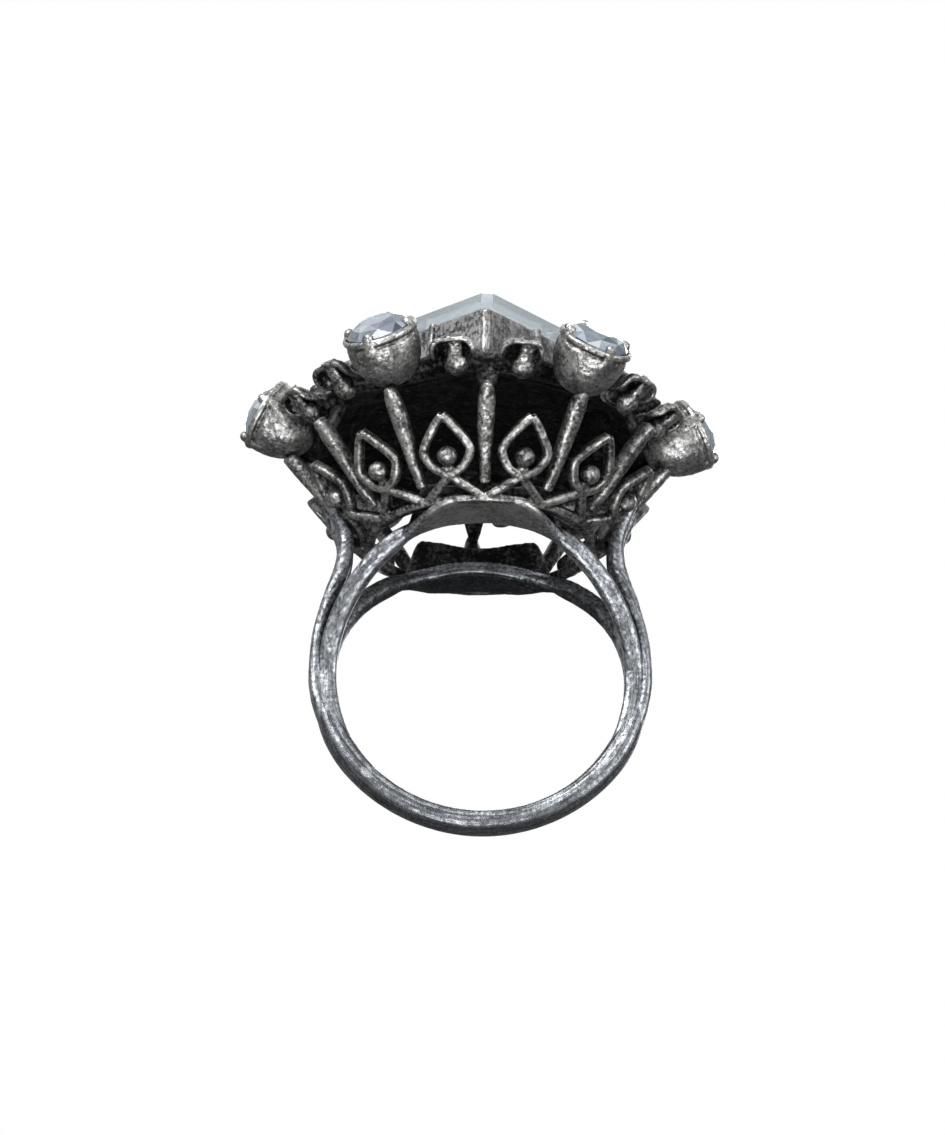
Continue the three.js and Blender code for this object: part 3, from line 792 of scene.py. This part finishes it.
def petal(i):
    """A petal under the edge of the plate: it faces out and down, with a neck and a bulb in its hollow."""
    angle = 2 * STEP * (i // 2) + (-PETAL_TURN if i % 2 == 0 else PETAL_TURN)
    direction = lean_turned(outward(angle, -PETAL_DIP))
    centre = box_centre(f"petal_{i:02d}") + direction * 0.5
    chance = random.Random(300 + i)
    shell = scoop(PETAL_W * chance.uniform(0.96, 1.04), PETAL_H * chance.uniform(0.97, 1.02))
    sway = chance.uniform(0.1, 0.36)
    bulb = ball(Vector((sway, -0.28, -0.3)), (0.74, 0.8, 0.6))
    stem = [Vector((sway + 0.12 * y, y, -0.2)) for y in (1.6, 1.2, 0.8, 0.3, -0.2)]
    neck = bar(stem, lambda p: UP, lambda t: (0.56 - 0.1 * math.sin(math.pi * t), 0.34), sides=14)
    root = [Vector((0, 0.1, -0.8)), Vector((0, 0.35, -1.3)), Vector((0, 0.6, -1.8))]
    tongue = bar(smooth_path(root, 12), lambda p: Vector((0, 1, 0.4)), lambda t: (0.8 - 0.25 * t, 0.3),
                 sides=14)
    matrix = facing_matrix(centre, direction, UP)
    bodies = [moved(body, matrix) for body in (shell, bulb, neck, tongue)]
    piece = cast(f"petal_{i:02d}_fine", bodies, voxel=0.06, rough=0.04, seed=40 + i)
    finished(piece, CAST, f"petal_{i:02d}")


def cup_place(i):
    """Where a round stone sits: its girdle's centre, its facing, and the direction up its rim."""
    angle = (2 * i + 1) * STEP
    rise = CUP_RISE + CUP_RISE_MORE * abs(math.cos(math.radians(angle)))
    return facing_matrix(box_centre(f"round_stone_{i}"), lean_turned(outward(angle, rise)), UP)


def cup(i):
    """A deep round cup with a folded lip and four bead prongs, one of them lowest and furthest out."""
    rows = 18
    shoulder_z = -0.55
    profile = []
    for k in range(rows + 1):
        a = math.pi / 2 * k / rows
        z = shoulder_z - (CUP_DEEP + shoulder_z) * math.cos(a)
        profile.append(((CUP_R - 0.02) * math.sin(a) ** 0.85, z))
    profile[0] = (0, -CUP_DEEP)
    profile += [(CUP_R - 0.12, -0.4), (CUP_R - 0.12, -0.32), (CUP_R + 0.06, -0.2), (CUP_R + 0.07, 0.02)]
    profile += [(CUP_R - 0.04, 0.14), (STONE_R + 0.02, 0.12), (STONE_R - 0.02, -0.1), (0, -1.02)]
    bodies = [lathe(profile, 64)]
    for k in range(4):
        a = math.radians(90 * k + 90)
        out = Vector((math.cos(a), math.sin(a), 0))
        foot = [out * (CUP_R - inset) + UP * z for inset, z in ((0.28, -1.5), (0.11, -0.7), (0.2, 0.1))]
        prong = bar(smooth_path(foot, 12), lambda p: out, lambda t: (0.46 - 0.06 * t, 0.14 + 0.08 * t),
                    sides=12)
        bodies += [prong, ball(out * (CUP_R - 0.31) + UP * 0.2, (0.34, 0.34, 0.36))]
    matrix = cup_place(i)
    bodies = [moved(body, matrix) for body in bodies]
    piece = cast(f"cup_{i}_fine", bodies, voxel=0.06, rough=0.03, seed=60 + i)
    finished(piece, BRIGHT, f"cup_{i}")


def stone_mesh(name, points, foil_below, matrix, seed, glass, back):
    """A faceted stone: the hull of its corners, with foil on the facets whose middle is below a height."""
    shape = bmesh.new()
    for p in points:
        shape.verts.new(p)
    bmesh.ops.convex_hull(shape, input=shape.verts)
    bmesh.ops.dissolve_limit(shape, angle_limit=math.radians(0.6), verts=shape.verts, edges=shape.edges)
    bmesh.ops.recalc_face_normals(shape, faces=shape.faces)
    for face in shape.faces:
        face.material_index = 1 if face.calc_center_median().z < foil_below else 0
    bmesh.ops.transform(shape, matrix=matrix, verts=shape.verts)
    bmesh.ops.scale(shape, vec=(MM, MM, MM), verts=shape.verts)
    mesh = bpy.data.meshes.new(name)
    shape.to_mesh(mesh)
    shape.free()
    chance = random.Random(seed)
    facet = mesh.attributes.new("facet", "FLOAT", "FACE")
    for value in facet.data:
        value.value = chance.random()
    piece = bpy.data.objects.new(name, mesh)
    bpy.context.scene.collection.objects.link(piece)
    mesh.materials.append(glass)
    mesh.materials.append(back)
    return piece


def ring_points(count, r, z, offset=0.0):
    return [Vector((r * math.cos(2 * math.pi * (k + offset) / count),
                    r * math.sin(2 * math.pi * (k + offset) / count), z)) for k in range(count)]


def round_stone(i):
    """From the table down: eight corners, eight more, the girdle's two edges, the pavilion and its tip."""
    r = STONE_R - 0.03
    points = ring_points(8, 0.52 * r, 0.80) + ring_points(8, 0.78 * r, 0.57, 0.5)
    points += ring_points(16, r, 0.16) + ring_points(16, r, 0.02)
    points += ring_points(8, 0.5 * r, -0.5, 0.5) + ring_points(4, 0.05, -0.9)
    piece = stone_mesh(f"round_stone_{i}_fine", points, -0.05, cup_place(i), 500 + i, GLASS, FOIL)
    placed(piece, f"round_stone_{i}")


def square_ring(corner, cut, z):
    """The eight corners of a square with its points on X and Y, each point cut off square."""
    out = []
    for k in range(4):
        a = math.pi / 2 * k
        for side in (-1, 1):
            x, y = cut, side * (corner - cut)
            out.append(Vector((x * math.cos(a) - y * math.sin(a), x * math.sin(a) + y * math.cos(a), z)))
    return out


def centre_matrix():
    """The centre stone and its setting lean with the others. Heights are from the setting's middle."""
    return Matrix.Translation(box_centre("centre_setting")) @ Euler((0, LEAN, 0)).to_matrix().to_4x4()


def centre_stone():
    """A square stone: a tall girdle, a step-cut crown above it and a pavilion down inside the setting."""
    base = SETTING_TOP + 0.06
    points = square_ring(CENTRE_CORNER, CENTRE_CUT, base)
    points += square_ring(CENTRE_CORNER, CENTRE_CUT, base + 1.03)
    points += square_ring(5.5, 5.25, base + 1.38)
    points += square_ring(4.4, 4.2, base + 1.68)
    points += square_ring(3.9, 3.8, base - 1.5) + square_ring(0.8, 0.7, base - 2.4)
    piece = stone_mesh("centre_stone_fine", points, base - 0.1, centre_matrix(), 900, PALE_GLASS, PALE_FOIL)
    placed(piece, "centre_stone")


def centre_setting():
    """The raised square wall, with a strip at each corner and a claw in the middle of each side."""
    outer = square_ring(CENTRE_CORNER + 0.06, CENTRE_CUT + 0.04, 0)
    inner = square_ring(CENTRE_CORNER - 1.4 * SETTING_WALL, CENTRE_CUT - SETTING_WALL, 0)
    bodies = []
    count = len(outer)
    points, faces = [], []
    for ring, z in ((outer, SETTING_LOW), (outer, SETTING_TOP), (inner, SETTING_TOP), (inner, SETTING_LOW)):
        points += [Vector((p.x, p.y, z)) for p in ring]
    for a in range(4):
        b = (a + 1) % 4
        for k in range(count):
            n = (k + 1) % count
            faces.append((a * count + k, a * count + n, b * count + n, b * count + k))
    bodies.append((points, faces))
    for k in range(4):
        a = math.pi / 2 * k
        out = Vector((math.cos(a), math.sin(a), 0))
        foot = out * (CENTRE_CUT + 0.05)
        strip = [foot + UP * (SETTING_LOW + 0.02), foot, foot + UP * (SETTING_TOP - 0.02)]
        bodies.append(bar(smooth_path(strip, 16), lambda p: out, lambda t: (0.26, 0.16), sides=12, power=3.5))
        mid = Vector((math.cos(a + math.pi / 4), math.sin(a + math.pi / 4), 0))
        seat = mid * (CENTRE_CORNER / math.sqrt(2))
        claw = [seat + UP * (SETTING_LOW + 0.6), seat + mid * 0.12 + UP * 0.6,
                seat + mid * 0.02 + UP * (SETTING_TOP + 0.12)]
        bodies.append(bar(smooth_path(claw, 16), lambda p: mid, lambda t: (0.34 - 0.1 * t, 0.2), sides=12))
    matrix = centre_matrix()
    bodies = [moved(body, matrix) for body in bodies]
    piece = cast("centre_setting_fine", bodies, voxel=0.075, rough=0.03, seed=80)
    finished(piece, WALL, "centre_setting")


def petal_share(x, y):
    """1 over a petal, falling to 0 between the petals."""
    angle = math.degrees(math.atan2(x, -y))
    apart = min(abs((angle - 2 * STEP * pair - turn + 180) % 360 - 180)
                for pair in range(COUNT // 2) for turn in (-PETAL_TURN, PETAL_TURN))
    return math.exp(-(apart / 7) ** 2)


def head_plate():
    """The plate under the settings: domed, with a lobe and a raised ridge over every petal."""
    profile = [(0, 17.2), (3, 17.15), (6.6, 17.0), (8.6, 16.2), (10.0, 15.5), (10.6, 15.9), (10.8, 16.5),
               (10.3, 17.1), (9.0, 17.6), (6.6, 18.0), (3, 18.15), (0, 18.15)]
    steps = 8
    dense = []
    for (r0, z0), (r1, z1) in zip(profile, profile[1:]):
        dense += [(r0 + (r1 - r0) * k / steps, z0 + (z1 - z0) * k / steps) for k in range(steps)]
    dense.append(profile[-1])
    points, faces = lathe(dense, 180)
    for p in points:
        r = math.hypot(p.x, p.y)
        share = petal_share(p.x, p.y)
        grow = 1 + (0.085 * share - 0.02) * ease((r - 7) / 3)
        ridge = 0.55 * (share - 0.4) * ease((r - 5.6) / 3) if p.z > 16.4 else 0
        p.x, p.y, p.z = p.x * grow, p.y * grow, p.z + ridge + FINGER_Z
    webs = [gusset(2 * STEP * i) for i in range(COUNT // 2)]
    piece = cast("head_plate_fine", [(points, faces)] + webs, voxel=0.1, rough=0.05, seed=90)
    # Painted shade: the plate takes the darker copy of the metal, as its underside lies in shadow.
    finished(piece, SHADOW_METAL, "head_plate")


# ---- The stage: floor, light and camera ----
def floor():
    """A pale floor seen from above only. It fades out away from the ring."""
    mesh = bpy.data.meshes.new("floor")
    half = 1.5
    corners = [(-half, -half, 0), (half, -half, 0), (half, half, 0), (-half, half, 0)]
    mesh.from_pydata(corners, [], [(0, 1, 2, 3)])
    plane = bpy.data.objects.new("floor", mesh)
    bpy.context.scene.collection.objects.link(plane)
    nodes = Nodes("pale_floor")
    nodes.shader.inputs["Base Color"].default_value = (0.9, 0.9, 0.9, 1)
    nodes.shader.inputs["Roughness"].default_value = 0.9
    clear = nodes.add("ShaderNodeBsdfTransparent")
    mix = nodes.add("ShaderNodeMixShader")
    distance = nodes.add("ShaderNodeVectorMath", operation="LENGTH")
    nodes.join(nodes.add("ShaderNodeTexCoord").outputs["Object"], distance.inputs[0])
    fade = nodes.remap(distance.outputs["Value"], 0.06, 0.2)
    behind = nodes.add("ShaderNodeNewGeometry").outputs["Backfacing"]
    nodes.join(nodes.math("MAXIMUM", fade, behind), mix.inputs[0])
    nodes.join(nodes.shader.outputs[0], mix.inputs[1])
    nodes.join(clear.outputs[0], mix.inputs[2])
    nodes.join(mix.outputs[0], nodes.tree.nodes["Material Output"].inputs[0])
    mesh.materials.append(nodes.material)
    plane.visible_shadow = False
    plane.visible_diffuse = False
    plane.visible_glossy = False
    plane.visible_transmission = False


def world_light():
    """White where the camera looks past the ring, and a soft bright-to-grey room for its reflections."""
    world = bpy.data.worlds.new("studio")
    bpy.context.scene.world = world
    world.use_nodes = True
    tree = world.node_tree
    tree.nodes.clear()
    out = tree.nodes.new("ShaderNodeOutputWorld")
    mix = tree.nodes.new("ShaderNodeMixShader")
    seen = tree.nodes.new("ShaderNodeBackground")
    seen.inputs[0].default_value = (1, 1, 1, 1)
    room = tree.nodes.new("ShaderNodeBackground")
    room.inputs[1].default_value = 0.75
    rays = tree.nodes.new("ShaderNodeLightPath")
    place = tree.nodes.new("ShaderNodeTexCoord")
    split = tree.nodes.new("ShaderNodeSeparateXYZ")
    ramp = tree.nodes.new("ShaderNodeValToRGB")
    height = tree.nodes.new("ShaderNodeMapRange")
    height.inputs["From Min"].default_value = -1
    for i, (spot, shade) in enumerate(((0.0, 0.16), (1.0, 1.0))):
        ramp.color_ramp.elements[i].position = spot
        ramp.color_ramp.elements[i].color = (shade, shade, shade, 1)
    for spot, shade in ((0.42, 0.2), (0.6, 0.45)):
        stop = ramp.color_ramp.elements.new(spot)
        stop.color = (shade, shade, shade, 1)
    link = tree.links.new
    link(place.outputs["Generated"], split.inputs[0])
    link(split.outputs[2], height.inputs["Value"])
    link(height.outputs[0], ramp.inputs[0])
    link(ramp.outputs[0], room.inputs[0])
    through = tree.nodes.new("ShaderNodeMath")
    through.operation = "MAXIMUM"
    link(rays.outputs["Is Camera Ray"], through.inputs[0])
    link(rays.outputs["Is Transmission Ray"], through.inputs[1])
    link(through.outputs[0], mix.inputs[0])
    link(room.outputs[0], mix.inputs[1])
    link(seen.outputs[0], mix.inputs[2])
    link(mix.outputs[0], out.inputs[0])


def soft_light(name, place, size, power):
    """A square soft box that points at the ring."""
    data = bpy.data.lights.new(name, "AREA")
    data.shape = "SQUARE"
    data.size = size
    data.energy = power
    lamp = bpy.data.objects.new(name, data)
    lamp.location = place
    ring_middle = Vector((0, 0, 0.02))
    lamp.rotation_euler = (ring_middle - Vector(place)).to_track_quat("-Z", "Y").to_euler()
    bpy.context.scene.collection.objects.link(lamp)
    lamp.visible_camera = False


# The camera: picture height, picture points to a millimetre at the ring, distance, and angles from the front.
IMAGE_H = 1135
PER_MM = 16.65
SENSOR = 36
DISTANCE = 0.6
ELEVATION = math.radians(24.4)
AZIMUTH = math.radians(2.2)


def camera():
    """Looks along the finger from below, with the finger's axis where the picture has it."""
    data = bpy.data.cameras.new("camera")
    data.sensor_width = SENSOR
    data.lens = SENSOR * DISTANCE / (IMAGE_H / PER_MM * MM)
    data.clip_start = 0.01
    cam = bpy.data.objects.new("camera", data)
    bpy.context.scene.collection.objects.link(cam)
    ahead = Vector((math.sin(AZIMUTH) * math.cos(ELEVATION), math.cos(AZIMUTH) * math.cos(ELEVATION),
                    math.sin(ELEVATION)))
    right = Vector((math.cos(AZIMUTH), -math.sin(AZIMUTH), 0))
    up = right.cross(ahead)
    aim = Vector((0, 0, FINGER_Z * MM)) - right * 0.47 * MM + up * 6.76 * MM
    turned = Matrix((right, up, -ahead)).transposed().to_4x4()
    cam.matrix_world = Matrix.Translation(aim - ahead * DISTANCE) @ turned
    bpy.context.scene.camera = cam


camera()
floor()
world_light()
soft_light("key", (-0.25, -0.45, 0.35), 0.35, 4.0)
soft_light("fill", (0.4, -0.35, 0.0), 0.35, 2.2)
soft_light("low", (-0.05, -0.4, -0.35), 0.3, 2.3)
soft_light("back", (0.1, 0.5, 0.35), 0.4, 2.0)
bpy.context.scene.view_settings.view_transform = "Standard"

hoop()
saddle("front_saddle", -1, 2)
saddle("back_saddle", 1, 3)
for side_x, left_right in ((-1, "left"), (1, "right")):
    for side_y, front_back in ((-1, "front"), (1, "back")):
        shoulder(f"shoulder_{left_right}_{front_back}", side_x, side_y, 10 + 2 * side_x + side_y)
basket()
for index in range(COUNT):
    fin(index)
    petal(index)
for index in range(COUNT // 2):
    cup(index)
    round_stone(index)
head_plate()
centre_setting()
centre_stone()
